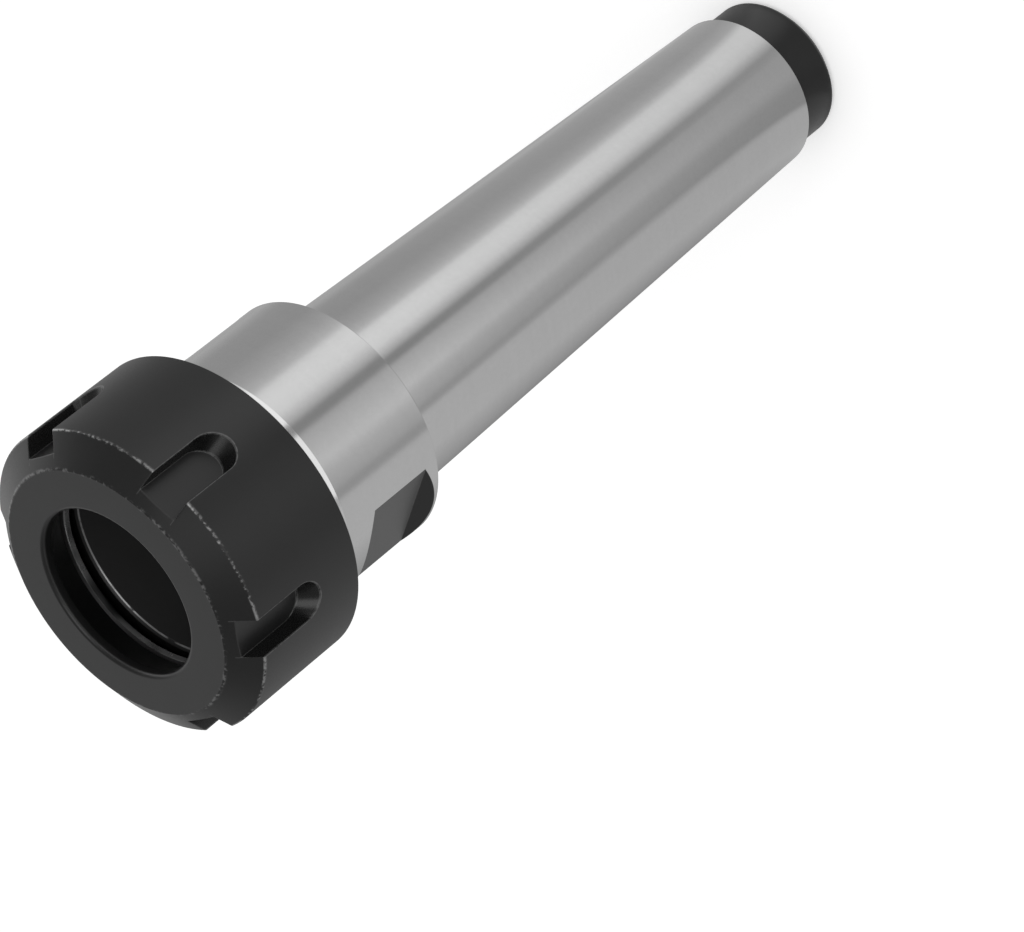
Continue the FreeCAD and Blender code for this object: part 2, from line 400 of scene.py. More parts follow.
def clean(piece):
    """Weld doubles, point the faces outwards, and give smooth normals weighted by area."""
    shape = bmesh.new()
    shape.from_mesh(piece.data)
    bmesh.ops.remove_doubles(shape, verts=shape.verts, dist=HEALING_DISTANCE)
    bmesh.ops.recalc_face_normals(shape, faces=shape.faces)
    loose = sum(not edge.is_manifold for edge in shape.edges)
    volume = shape.calc_volume() / MM**3
    shape.to_mesh(piece.data)
    shape.free()
    piece.data.shade_smooth()
    piece.data.set_sharp_from_angle(angle=math.radians(SHARP_DEGREES))
    weighted = piece.modifiers.new("weighted normals", "WEIGHTED_NORMAL")
    weighted.keep_sharp = True
    keep_mesh(piece)
    faces = sum(len(polygon.vertices) - 2 for polygon in piece.data.polygons)
    print(f"{piece.name}: {faces} triangles, {loose} open edges, {volume / 1000:.2f} cm3")


print("an edge break is", EDGE_BREAK, "mm wide")

# %% [markdown]
# ## The clamping nut's section
# The nut is a thick ring. Its front has a flat face and a cone out to the cylinder. Inside are,
# from the front, the opening, the cone that presses the collet in, the small lip that pulls it
# out again, a pocket, and the thread bore. The worn corners are broken by a few tenths of a
# millimetre, because a corner with no radius never catches the light.

# %% The nut's corners
OPENING_ROUNDING = 0.7
OPENING_LAND = 1.7
PRESSING_CONE_DEGREES = 30.0
PRESSING_CONE_CLEARANCE = 0.05
LIP_HEIGHT = 0.6
LIP_LENGTH = 1.3
LIP_OFFSET = 0.25
POCKET_RADIUS = 18.55
SHOULDER_DEPTH = 9.3
THREAD_CLEARANCE = 0.05
NUT_THREAD_DEPTH = 0.4
NUT_THREAD_RUNOUT = 1.6
NUT_BORE_CHAMFER = 1.0
NUT_BACK_CHAMFER = 0.2
FRONT_CONE_WIDTH = 4.5
FRONT_CONE_LENGTH = 3.1
FACE_EDGE_DROP = 0.15
FACE_EDGE_WIDTH = 0.25

nut_crest = collar_radius + THREAD_CLEARANCE
nut_root = nut_crest + NUT_THREAD_DEPTH
cone_end_radius = seat_mouth + PRESSING_CONE_CLEARANCE
cone_start = nut_front - OPENING_LAND
cone_run = (cone_end_radius - opening_radius) / math.tan(math.radians(PRESSING_CONE_DEGREES))
cone_end = cone_start - cone_run
lip_radius = cone_end_radius - LIP_HEIGHT
lip_front = cone_end - LIP_HEIGHT / 2
lip_back = cone_end - LIP_LENGTH
shoulder = nut_front - SHOULDER_DEPTH
nut_thread_start = nut_back + NUT_BORE_CHAMFER - NUT_THREAD_DEPTH
nut_thread_end = shoulder - NUT_THREAD_RUNOUT
face_edge = nut_radius - FRONT_CONE_WIDTH
front_cone_start = nut_front - FACE_EDGE_DROP
front_cone_end = nut_front - FRONT_CONE_LENGTH

NUT_SECTION = [
    (nut_root, nut_thread_start),
    (nut_crest + NUT_BORE_CHAMFER, nut_back, 0.1),
    (nut_radius - NUT_BACK_CHAMFER, nut_back, 0.04),
    (nut_radius, nut_back + NUT_BACK_CHAMFER, 0.04),
    (nut_radius, front_cone_end, 0.3),
    (face_edge, front_cone_start, 0.1),
    (face_edge - FACE_EDGE_WIDTH, nut_front, 0.1),
    (opening_radius, nut_front, OPENING_ROUNDING),
    (opening_radius, cone_start, 0.1),
    (cone_end_radius, cone_end, 0.04),
    (lip_radius, lip_front, 0.12),
    (lip_radius, lip_back, 0.1),
    (POCKET_RADIUS, lip_back),
    (POCKET_RADIUS, shoulder),
    (nut_root, shoulder),
    (nut_root, nut_thread_end),
]
print(f"the nut's section has {len(NUT_SECTION)} corners")

# %% [markdown]
# ## Shapes that mill the blanks
# A milling cutter's path is a solid of its own. It is drawn as an outline, filled, pushed out,
# and taken away from the blank. One group of settings serves both pieces: the outline is drawn
# in the flat, stood up against the blank, and copied round the axis as often as it is needed.

# %% Cutters, copies and the cut
MARK_ABOVE_DEGREES = 20.0


def push_out(board, outline, offset):
    """A closed solid between a filled outline and a copy of it moved by an offset."""
    face = board.add("GeometryNodeFillCurve", {"mode": "NGONS"}, {"Curve": outline})
    sockets = {"Mesh": face, "Offset": join(board, *offset), "Individual": False}
    sides = board.add("GeometryNodeExtrudeMesh", {"mode": "FACES"}, sockets)
    under = board.add("GeometryNodeFlipFaces", {}, {"Mesh": face})
    return merge(board, sides, under)


def copy_round(board, cutter, count, first_degrees):
    """Copies of a cutter, spread evenly round the axis."""
    points = board.add("GeometryNodePoints", {}, {"Count": count})
    turn = board.add("GeometryNodeInputIndex") * math.tau / count + math.radians(first_degrees)
    sockets = {"Points": points, "Instance": cutter, "Rotation": join(board, 0.0, 0.0, turn)}
    copies = board.add("GeometryNodeInstanceOnPoints", {}, sockets)
    return board.add("GeometryNodeRealizeInstances", {}, {"Geometry": copies})


def finish_milled(board, given, blank, cutters, zone):
    """Take the cutters away, mark the milled edges in a zone, and end the tree with the finish."""
    least_radius, least_height, most_height = zone
    settings = {"operation": "DIFFERENCE", "solver": "MANIFOLD"}
    milled = board.add("GeometryNodeMeshBoolean", settings, {"Mesh 1": blank, "Mesh 2": cutters})
    x, y, z = split(board, board.add("GeometryNodeInputPosition"))
    outside = (x * x + y * y) > (least_radius * MM) ** 2
    outside = outside * (z > least_height * MM) * (z < most_height * MM)
    sharp = board.add("GeometryNodeInputMeshEdgeAngle") > math.radians(MARK_ABOVE_DEGREES)
    settings = {"data_type": "FLOAT", "domain": "EDGE"}
    sockets = {"Geometry": milled, "Name": "bevel_weight_edge", "Value": outside * sharp}
    marked = board.add("GeometryNodeStoreNamedAttribute", settings, sockets)
    whole = board.add("GeometryNodeRealizeInstances", {}, {"Geometry": marked})
    sockets = {"Geometry": whole, "Material": given.output("Finish")}
    return finish_group(board, board.add("GeometryNodeSetMaterial", {}, sockets))


def turn_section(board, given):
    """The lathe group, fed from this group's own mesh and segments."""
    sockets = {"Mesh": given.output("Mesh"), "Segments": given.output("Segments")}
    return board.add("GeometryNodeGroup", {"node_tree": lathe}, sockets)


def cut_thread(board, given, pitch, shape, span, slopes):
    """A thread sleeve over a span of height. A negative depth points its ridges inwards."""
    root, depth, crest_share = shape
    start, end = span
    turns = math.ceil((end - start) / pitch) + 1
    sockets = {"Segments": given.output("Segments"), "Turns": turns, "Pitch": pitch * MM}
    sockets.update({"Root": root * MM, "Depth": depth * MM, "Crest Share": crest_share})
    sockets.update({"Start": start * MM, "End": end * MM})
    sockets.update({"Start Slope": slopes[0], "End Slope": slopes[1]})
    return board.add("GeometryNodeGroup", {"node_tree": thread}, sockets)


print("milling helpers ready")

# %% [markdown]
# ## Milling the nut's slots
# A hook spanner catches in six slots. Each one is cut by an end mill that enters from the front,
# so it is open there, has a flat floor and a round end, and the end leans because the cutter
# climbs out along a slope. The outline is a rectangle with two corners rounded to half its
# width, so a wider slot keeps its round end.
#
# The ring is turned by a fraction of a degree first, so that each slot falls in the same way
# between the ring's columns of faces, and its long edges have room to be broken.

# %% The slotted nut
NUT_SEGMENTS = 384
SLOT_COUNT = size("hook_spanner_slots", "count")
SLOT_WIDTH = 6.4
SLOT_DEPTH = 3.0
SLOT_LENGTH = 15.4
SLOT_LEAN = 2.0
SLOT_PHASE_DEGREES = 25.0
SLOT_ROUND_STEPS = 14
CUTTER_OVERRUN = 4.0
CUTTER_RISE = SLOT_DEPTH + CUTTER_OVERRUN
THREAD_PITCH = 1.5
NUT_CREST_SHARE = 0.56
LIP_REACH = 0.2
# the least radius and the least and most height at which an edge is broken
NUT_MILLED_ZONE = (nut_root + 0.2, nut_back + 1.0, nut_front + 1.0)
slot_floor = nut_radius - SLOT_DEPTH
slot_end = nut_front - SLOT_LENGTH + SLOT_LEAN
column_degrees = 360.0 / NUT_SEGMENTS
ring_turn_degrees = (SLOT_PHASE_DEGREES - column_degrees / 2) % column_degrees


def slotted_group():
    inputs = {"Segments": COUNT, "Slots": COUNT, "Width": NUMBER, "Length": NUMBER, "Finish": FINISH}
    board, given = new_group("slotted nut", inputs)
    width = given.output("Width")
    sockets = {"Width": width, "Height": given.output("Length")}
    outline = board.add("GeometryNodeCurvePrimitiveQuadrilateral", {"mode": "RECTANGLE"}, sockets)
    _, along, _ = split(board, board.add("GeometryNodeInputPosition"))
    rounding = (along < 0.0) * width * 0.5
    sockets = {"Curve": outline, "Count": SLOT_ROUND_STEPS, "Radius": rounding, "Limit Radius": True}
    outline = board.add("GeometryNodeFilletCurve", {"mode": "POLY"}, sockets)
    lean = SLOT_LEAN / SLOT_DEPTH * CUTTER_RISE
    cutter = push_out(board, outline, (0.0, -lean * MM, CUTTER_RISE * MM))
    middle = given.output("Length") * 0.5 + slot_end * MM
    sockets = {"Geometry": cutter, "Translation": join(board, slot_floor * MM, 0.0, middle)}
    sockets["Rotation"] = (math.pi / 2, 0.0, math.pi / 2)
    cutter = board.add("GeometryNodeTransform", {}, sockets)
    cutters = copy_round(board, cutter, given.output("Slots"), SLOT_PHASE_DEGREES)
    span = (nut_thread_start, nut_thread_end)
    shape = (nut_root, -NUT_THREAD_DEPTH, NUT_CREST_SHARE)
    sleeve = cut_thread(board, given, THREAD_PITCH, shape, span, (1.0, 1.0))
    ring = merge(board, turn_section(board, given), sleeve)
    sockets = {"Geometry": ring, "Rotation": (0.0, 0.0, math.radians(ring_turn_degrees))}
    ring = board.add("GeometryNodeTransform", {}, sockets)
    x, y, z = split(board, board.add("GeometryNodeInputPosition"))
    on_lip = (x * x + y * y) < ((lip_radius + LIP_HEIGHT / 2) * MM) ** 2
    on_lip = on_lip * (z > (lip_back - LIP_REACH) * MM) * (z < (lip_front + LIP_REACH) * MM)
    sockets = {"Geometry": ring, "Selection": on_lip, "Offset": (0.0, LIP_OFFSET * MM, 0.0)}
    ring = board.add("GeometryNodeSetPosition", {}, sockets)
    return finish_milled(board, given, ring, cutters, NUT_MILLED_ZONE)


nut = draw_section("nut_shell", NUT_SECTION)
slots = {"Segments": NUT_SEGMENTS, "Slots": SLOT_COUNT, "Width": SLOT_WIDTH * MM}
slots.update({"Length": (nut_front - slot_end + CUTTER_OVERRUN) * MM, "Finish": black_steel})
run_group(nut, slotted_group(), slots)
break_edges(nut)
clean(nut)

# %% [markdown]
# ## The body's section
# The body is turned from one bar. From the tail up it has a short blackened stub, the taper
# that holds by friction in the spindle, a collar, a relief groove, and the threaded nose that
# takes the nut. A drawbar screws into the tail, and the collet sits in a cone in the nose.
# Each thread is left out of the section, as a gap that its sleeve will fill.

# %% The body's corners
TAPER_RATE = 1 / 19.254
STUB_STEP = 1.2
STUB_CHAMFER = 1.0
TAPER_END_CHAMFER = 0.5
GAUGE_LINE_TO_COLLAR = 6.5
COLLAR_LENGTH = 19.7
COLLAR_BACK_CHAMFER = 0.2
COLLAR_LEAD_DROP = 0.4
COLLAR_LEAD_LENGTH = 1.4
RELIEF_DEPTH = 1.4
RELIEF_WIDTH = 0.8
NOSE_CHAMFER = 1.0
NOSE_THREAD_DEPTH = 0.92
MOUTH_CHAMFER = 0.5
SEAT_DEGREES = 8.0
TOOL_BORE_STEP = 1.2
TOOL_BORE_BOTTOM = 70.5
DRILL_TIP_DEGREES = 59.0
DRAWBAR_PITCH = 2.0
DRAWBAR_THREAD_DEPTH = 1.083
DRAWBAR_DRILL_RADIUS = 7.0
DRAWBAR_DRILL_DEPTH = 40.0
CENTRE_CONE_RIM = 0.75
CENTRE_CONE_DEGREES = 30.0


def shank_radius(height):
    """The taper's radius at a height."""
    return gauge_radius - (gauge_line - height) * TAPER_RATE / 2


stub_length = gauge_line - size("shank_taper", "length_mm")
collar_back = gauge_line + GAUGE_LINE_TO_COLLAR
collar_front = collar_back + COLLAR_LENGTH
drill_tip = 1 / math.tan(math.radians(DRILL_TIP_DEGREES))
taper_end = shank_radius(stub_length)
stub_radius = taper_end - STUB_STEP
relief_radius = collar_radius - RELIEF_DEPTH
lead_end = collar_front + COLLAR_LEAD_LENGTH
relief_start = lead_end + RELIEF_DEPTH - COLLAR_LEAD_DROP
relief_end = relief_start + RELIEF_WIDTH
nose_root = collar_radius - NOSE_THREAD_DEPTH
nose_thread_start = relief_end + RELIEF_DEPTH - NOSE_THREAD_DEPTH
nose_thread_end = nose_end - NOSE_CHAMFER + NOSE_THREAD_DEPTH
seat_bottom = nose_end - seat_depth
seat_slope = math.tan(math.radians(SEAT_DEGREES))
seat_bottom_radius = seat_mouth - seat_depth * seat_slope
chamfer_end_radius = seat_mouth - MOUTH_CHAMFER * seat_slope
tool_bore_radius = seat_bottom_radius - TOOL_BORE_STEP
drawbar_end = place("drawbar_thread").z + drawbar_length
cone_rim_height = CENTRE_CONE_RIM / math.tan(math.radians(CENTRE_CONE_DEGREES))

DRILL_END = [
    (0.0, DRAWBAR_DRILL_DEPTH + DRAWBAR_DRILL_RADIUS * drill_tip),
    (DRAWBAR_DRILL_RADIUS, DRAWBAR_DRILL_DEPTH),
    (DRAWBAR_DRILL_RADIUS, drawbar_end),
    (drawbar_radius, drawbar_end),
]
OUTSIDE = [
    (drawbar_radius, cone_rim_height),
    (drawbar_radius + CENTRE_CONE_RIM, tail, 0.1),
    (stub_radius - STUB_CHAMFER, tail, 0.2),
    (stub_radius, tail + STUB_CHAMFER, 0.3),
    (stub_radius, stub_length, 0.15),
    (taper_end - TAPER_END_CHAMFER, stub_length, 0.1),
    (shank_radius(stub_length + TAPER_END_CHAMFER), stub_length + TAPER_END_CHAMFER, 0.15),
    (shank_radius(collar_back), collar_back, 0.2),
    (collar_radius - COLLAR_BACK_CHAMFER, collar_back, 0.04),
    (collar_radius, collar_back + COLLAR_BACK_CHAMFER, 0.05),
    (collar_radius, collar_front, 0.4),
    (collar_radius - COLLAR_LEAD_DROP, lead_end, 0.2),
    (relief_radius, relief_start, 0.1),
    (relief_radius, relief_end, 0.2),
    (nose_root, nose_thread_start),
]
SOCKET = [
    (nose_root, nose_thread_end),
    (collar_radius - NOSE_CHAMFER, nose_end, 0.05),
    (seat_mouth + MOUTH_CHAMFER, nose_end, 0.1),
    (chamfer_end_radius, nose_end - MOUTH_CHAMFER, 0.15),
    (seat_bottom_radius, seat_bottom),
    (tool_bore_radius, seat_bottom, 0.15),
    (tool_bore_radius, TOOL_BORE_BOTTOM),
    (0.0, TOOL_BORE_BOTTOM - tool_bore_radius * drill_tip),
]
print(f"taper from {taper_end:.2f} to {shank_radius(collar_back):.2f} mm radius")
print(f"seat {2 * seat_mouth:.1f} mm at the mouth, {2 * seat_bottom_radius:.2f} mm at its bottom")

# %% [markdown]
# ## Milling the collar's flats
# Two flats on the collar take an open spanner, which holds the chuck still while the nut turns.
# The cutter's outline is a trapezoid, because both ends of a flat slope at 45 degrees.

# %% The body with its flats
BODY_SEGMENTS = 352
FLAT_LENGTH = 11.2
FLAT_OVERRUN = 3.0
DRAWBAR_CREST_SHARE = 0.25
NOSE_CREST_SHARE = 0.125
BODY_MILLED_ZONE = (17.4, collar_back + 0.6, collar_front - 0.5)


def body_group():
    inputs = {"Segments": COUNT, "Flats": COUNT, "Flat Length": NUMBER, "Finish": FINISH}
    board, given = new_group("chuck body", inputs)
    length = given.output("Flat Length")
    sockets = {"Height": FLAT_OVERRUN * MM, "Bottom Width": length, "Offset": 0.0}
    sockets["Top Width"] = length + 2 * FLAT_OVERRUN * MM
    outline = board.add("GeometryNodeCurvePrimitiveQuadrilateral", {"mode": "TRAPEZOID"}, sockets)
    cutter = push_out(board, outline, (0.0, 0.0, 2 * collar_radius * MM))
    spot = Vector((flat_distance + FLAT_OVERRUN / 2, -collar_radius, flat_middle)) * MM
    sockets = {"Geometry": cutter, "Translation": spot, "Rotation": (0.0, -math.pi / 2, -math.pi / 2)}
    cutter = board.add("GeometryNodeTransform", {}, sockets)
    cutters = copy_round(board, cutter, given.output("Flats"), 0.0)
    slope = math.tan(math.radians(CENTRE_CONE_DEGREES))
    span = (cone_rim_height, drawbar_end)
    shape = (drawbar_radius, -DRAWBAR_THREAD_DEPTH, DRAWBAR_CREST_SHARE)
    drawbar = cut_thread(board, given, DRAWBAR_PITCH, shape, span, (slope, 1.0))
    span = (nose_thread_start, nose_thread_end)
    shape = (nose_root, NOSE_THREAD_DEPTH, NOSE_CREST_SHARE)
    nose = cut_thread(board, given, THREAD_PITCH, shape, span, (1.0, 1.0))
    blank = merge(board, turn_section(board, given), drawbar, nose)
    return finish_milled(board, given, blank, cutters, BODY_MILLED_ZONE)


body = draw_section("holder_body", DRILL_END, OUTSIDE, SOCKET)
flats = {"Segments": BODY_SEGMENTS, "Flats": 2, "Flat Length": FLAT_LENGTH * MM, "Finish": bright_steel}
run_group(body, body_group(), flats)
break_edges(body)
clean(body)

# %% [markdown]
# ## Where a point lies on the chuck
# The two finishes need to know which surface they are on, because one piece carries both. No
# painting is needed for that: a point's radius and height say it all on a turned part. So the
# masks below are plain arithmetic on the object's own coordinates.

# %% Radius, height and soft edges


def empty_board(owner):
    """The board of a material or a world, with no nodes on it yet."""
    owner.use_nodes = True
    owner.node_tree.nodes.clear()
    return Board(owner.node_tree)


def open_finish(finish):
    """An empty board for a material, and a point's x, y and z in millimetres."""
    board = empty_board(finish)
    point = board.add("ShaderNodeTexCoord").output("Object")
    x, y, z = split(board, point)
    return board, x / MM, y / MM, z / MM


def rise(value, edge, width):
    """From 0 to 1 as a value passes an edge, softly over a width."""
    settings = {"interpolation_type": "SMOOTHSTEP"}
    sockets = {"Value": value, "From Min": edge - width / 2, "From Max": edge + width / 2}
    return value.board.add("ShaderNodeMapRange", settings, sockets)


def line(value, width):
    """1 where a value is near 0, fading out over a width to each side."""
    return 1.0 - rise(abs(value), width * 0.5, width)


def speckle(board, x, y, z, scale, detail=3.0):
    """Plain noise round 0.5, with a scale given in grains per millimetre."""
    sockets = {"Vector": join(board, x, y, z), "Scale": scale, "Detail": detail}
    return board.add("ShaderNodeTexNoise", {}, sockets)


def blend(board, share, low, high):
    """Mix two colours or two wires of colour."""
    node = board.tree.nodes.new("ShaderNodeMix")
    node.data_type = "RGBA"
    board.feed(node.inputs[0], share)
    board.feed(node.inputs[6], low)
    board.feed(node.inputs[7], high)
    return Wire(board, node.outputs[2])


def mix(share, low, high):
    """Mix two numbers or wires of numbers."""
    return share * high + (1.0 - share) * low


def grey(level):
    return (level, level, level, 1.0)


print("finish helpers ready")

# %% [markdown]
# ## The two finishes as one set of layers
# Black oxide is a thin coat, so a black surface has the steel's own texture under it. Both
# finishes are therefore built by the same function, from one mask that says where the coat is
# and one that says where it has worn off an edge. Steel is bright metal with fine grinding
# lines round the axis. The coat is nearly black, not a metal, satin, and a little uneven.
# Each noise stays near 0.5, so its weight says how uneven it makes the colour or the gloss.

# %% Steel and its black coat
STEEL = 0.62
COAT = 0.007
STEEL_ROUGHNESS = 0.125
COAT_ROUGHNESS = 0.36
GRIND_HEIGHT = 0.0012
# grains per millimetre of each noise
GRIND_LINES = 6.6
WIDE_LINES = 0.55
PATCHES = 0.16
FINE_MARKS = 1.6
COAT_GRAIN = 3.5


def finish_surface(board, x, y, z, radius, coat, bare, raw=0.0):
    """Shade steel under a coat: coat and bare are masks, raw is added to the coat's roughness."""
    lines = speckle(board, radius, 0.0, z, GRIND_LINES, 2.0)
    wide_lines = speckle(board, radius, 0.0, z, WIDE_LINES, 1.0)
    patches = speckle(board, x, y, z, PATCHES, 4.0)
    fine = speckle(board, x, y, z, FINE_MARKS)
    grain = speckle(board, x, y, z, COAT_GRAIN, 2.0)
    covered = coat * (1.0 - bare)
    steel = STEEL * (0.93 + wide_lines * 0.04 + patches * 0.04 + fine * 0.06)
    coated = COAT * (0.55 + patches * 0.5 + grain * 0.4)
    steel_colour = blend(board, steel, grey(0.0), grey(1.0))
    coated_colour = blend(board, coated, grey(0.0), grey(1.0))
    colour = blend(board, covered, steel_colour, coated_colour)
    rough = mix(covered, STEEL_ROUGHNESS + lines * 0.05, COAT_ROUGHNESS - 0.06 + grain * 0.12 + raw)
    height = mix(covered, lines * 0.6 + wide_lines * 0.4, lines * 0.7 + grain * 2.2)
    sockets = {"Strength": 1.0, "Distance": GRIND_HEIGHT * MM, "Height": height}
    relief = board.add("ShaderNodeBump", {}, sockets)
    sockets = {"Base Color": colour, "Metallic": 1.0 - covered, "Roughness": rough, "Normal": relief}
    shader = board.add("ShaderNodeBsdfPrincipled", {}, sockets)
    board.add("ShaderNodeOutputMaterial", {}, {"Surface": shader})


print("steel reflects", STEEL, "of the light, its coat", COAT)

# %% [markdown]
# ## The body's finish
# On the body the coat covers the stub, the nose, the bores and the two flats. What was ground
# afterwards is bright: the taper, the collar and its front chamfer, and the seat's own edge.
# Inside the collet seat only a little of the coat is rubbed off, which keeps the bore dark:
# partly the coat, partly painted shade in the bore.

# %% Bright and black on the body
MASK_EDGE = 0.1
UNDER_THE_SKIN = 0.8
BORED_RADIUS = 17.2
# how much of the coat is rubbed off each place
MOUTH_RUB = 0.6
TAIL_EDGE_RUB = 0.3
FLAT_RUB = 0.1
# kept small so that the collet seat stays dark: partly coat, partly painted shade in the bore
SEAT_RUB_AND_PAINTED_SHADE = 0.05
MOUTH_CHIPS = 0.5


def body_finish():
    board, x, y, z = open_finish(bright_steel)
    radius = (x * x + y * y) ** 0.5
    skin = shank_radius(z) - UNDER_THE_SKIN
    inside = rise(skin - radius, 0.0, MASK_EDGE) * (z < collar_back)
    inside = inside + (z > collar_back) * (radius < BORED_RADIUS)
    stub = 1.0 - rise(z, stub_length + 0.15, MASK_EDGE)
    nose = rise(z, lead_end + 0.1, MASK_EDGE)
    beyond = abs(z - flat_middle) - FLAT_LENGTH / 2
    above_flat = abs(x) - flat_distance - beyond.most(0.0)
    flat = (1.0 - rise(abs(above_flat), 0.045, 0.03)) * (radius > relief_radius - 1.0)
    flat_floor = flat * (beyond < -0.05)
    coat = inside.most(stub).most(nose).most(flat)
    mouth = line(radius - seat_mouth - 0.05, 0.16) * line(z - nose_end + 0.35, 0.3)
    chips = rise(speckle(board, x, y, z, MOUTH_CHIPS), 0.42, 0.2)
    tail_edge = line(radius - stub_radius, 0.3) * line(z - 0.9, 0.5)
    # the seat's small rub leaves it dark, partly as coat and partly as painted shade in the bore
    seat = (radius < seat_mouth) * (z > seat_bottom)
    bare = (mouth * chips * MOUTH_RUB).most(tail_edge * chips * TAIL_EDGE_RUB)
    bare = bare.most(seat * SEAT_RUB_AND_PAINTED_SHADE).most(flat_floor * FLAT_RUB)
    finish_surface(board, x, y, z, radius, coat, bare)
    return board


print("the body's finish has", len(body_finish().tree.nodes), "nodes")

# %% [markdown]
# ## The nut's finish
# The nut is black all over. Handling and the hook spanner rub the coat off its sharp edges, so
# bright specks follow the rim where the cylinder meets the front cone, most of all beside the
# slots, and a faint broken line follows the edge of the face. The lip is polished by collets.
# The thin bright lines along each slot's outer edge and floor edge are partly that wear and
# partly a painted highlight on the slot's edges.
#
# A slot's outline is found by its own distance: the angle is folded so that all six slots fall
# on one, and there the outline is a half circle that runs on as two straight sides.

# %% Black and worn on the nut
SLOT_STEP_DEGREES = 360.0 / SLOT_COUNT
# how much of the coat is rubbed off each place
LIP_RUB = 0.85
RIM_RUB = 0.5
FACE_EDGE_RUB = 0.22
# the slot edges' bare lines stand partly for wear and partly for a painted highlight
SLOT_EDGE_RUB_AND_HIGHLIGHT = 0.16
SLOT_FLOOR_RUB_AND_HIGHLIGHT = 0.08
MILLED_SMOOTHING = 0.08
RIM_CHIPS = 1.8
RIM_STRETCHES = 0.12


def slot_distance(x, y, z, radius):
    """How far outside a slot's outline a point is, in millimetres."""
    angle = y.maths("ARCTAN2", y, x) - math.radians(SLOT_PHASE_DEGREES - SLOT_STEP_DEGREES / 2)
    angle = angle % math.radians(SLOT_STEP_DEGREES) - math.radians(SLOT_STEP_DEGREES / 2)
    outward = radius * angle.unary("COSINE")
    sideways = radius * angle.unary("SINE")
    centre = slot_end + SLOT_WIDTH / 2 - (outward - slot_floor) * (SLOT_LEAN / SLOT_DEPTH)
    below = (z - centre).least(0.0)
    return (sideways * sideways + below * below) ** 0.5 - SLOT_WIDTH / 2


def nut_finish():
    board, x, y, z = open_finish(black_steel)
    radius = (x * x + y * y) ** 0.5
    outline = slot_distance(x, y, z, radius)
    chips = speckle(board, x, y, z, RIM_CHIPS, 6.0)
    stretches = speckle(board, x, y, z, RIM_STRETCHES, 1.0)
    near_slot = 1.0 - rise(outline, 2.5, 4.0)
    rim = line(radius - nut_radius + 0.08, 0.22) * line(z - front_cone_end - 0.05, 0.5)
    rim = rim * rise(chips + near_slot * 0.18 + stretches * 0.3, 0.72, 0.24) * RIM_RUB
    face_line = line(radius - face_edge + 0.15, 0.4) * line(z - nut_front, 0.6)
    face_line = face_line * rise(chips + stretches * 0.5, 0.8, 0.24) * FACE_EDGE_RUB
    # a thin bare line round each slot at the outer edge and the floor edge: partly spanner wear, partly
    # a painted highlight
    outer_edge = line(outline - 0.05, 0.13) * (radius > nut_radius - 0.25)
    floor_edge = line(outline, 0.12) * (radius < slot_floor + 0.3) * (radius > slot_floor - 0.5)
    slot_wear_and_highlight = (outer_edge * SLOT_EDGE_RUB_AND_HIGHLIGHT + floor_edge * SLOT_FLOOR_RUB_AND_HIGHLIGHT) * rise(chips, 0.4, 0.3)
    lip = (radius < seat_mouth - 0.3) * (z < cone_end) * (z > lip_back - 0.3)
    bare = rim.most(face_line).most(slot_wear_and_highlight).most(lip * rise(stretches, 0.45, 0.3) * LIP_RUB)
    milled = (abs(outline) < 0.08) * (radius < nut_radius - 0.25) * (radius > slot_floor + 0.1)
    finish_surface(board, x, y, z, radius, 1.0, bare, milled * -MILLED_SMOOTHING)
    return board


print("the nut's finish has", len(nut_finish().tree.nodes), "nodes")

# %% [markdown]
# ## The camera
# A long lens from above and to one side, turned about its own axis so that the chuck lies
# across the picture with the nut in front. It aims beside the chuck's middle, which leaves
# room in the picture below the shank.

# %% Set the camera
AIM = Vector((-20.76, 6.88, 89.70)) * MM
CAMERA_AZIMUTH = 251.653
CAMERA_ELEVATION = 35.549
CAMERA_DISTANCE = 0.67698
CAMERA_ROLL = -129.935
LENS = 160.69
SENSOR_WIDTH = 36.0


def add_object(name, data):
    thing = bpy.data.objects.new(name, data)
    bpy.context.scene.collection.objects.link(thing)
    return thing


def direction(azimuth, elevation):
    """The unit vector at an azimuth and elevation in degrees."""
    turn, tilt = math.radians(azimuth), math.radians(elevation)
    return Vector((math.cos(tilt) * math.cos(turn), math.cos(tilt) * math.sin(turn), math.sin(tilt)))


camera = add_object("camera", bpy.data.cameras.new("camera"))
back = direction(CAMERA_AZIMUTH, CAMERA_ELEVATION)
camera.location = AIM + CAMERA_DISTANCE * back
turn = back.to_track_quat("Z", "Y") @ Quaternion((0.0, 0.0, 1.0), math.radians(CAMERA_ROLL))
camera.rotation_euler = turn.to_euler()
camera.data.sensor_width = SENSOR_WIDTH
camera.data.lens = LENS
bpy.context.scene.camera = camera
print("camera at", [round(value, 3) for value in camera.location])

# %% [markdown]
# ## The floor
# A plain pale disc. To the camera it adds enough light of its own to come out white, while the
# part of it that the lamps light still takes the chuck's soft shadow.

# %% Lay the floor
FLOOR_RADIUS = 6.0
FLOOR_COLOUR = 0.8
FLOOR_GLOW = 0.46
FLOOR_CORNERS = 128


def disc_mesh(name, radius, points):
    mesh = bpy.data.meshes.new(name)
    turns = [math.tau * index / points for index in range(points)]
    corners = [(radius * math.cos(turn), radius * math.sin(turn), 0.0) for turn in turns]
    mesh.from_pydata(corners, [], [list(range(points))])
    return mesh


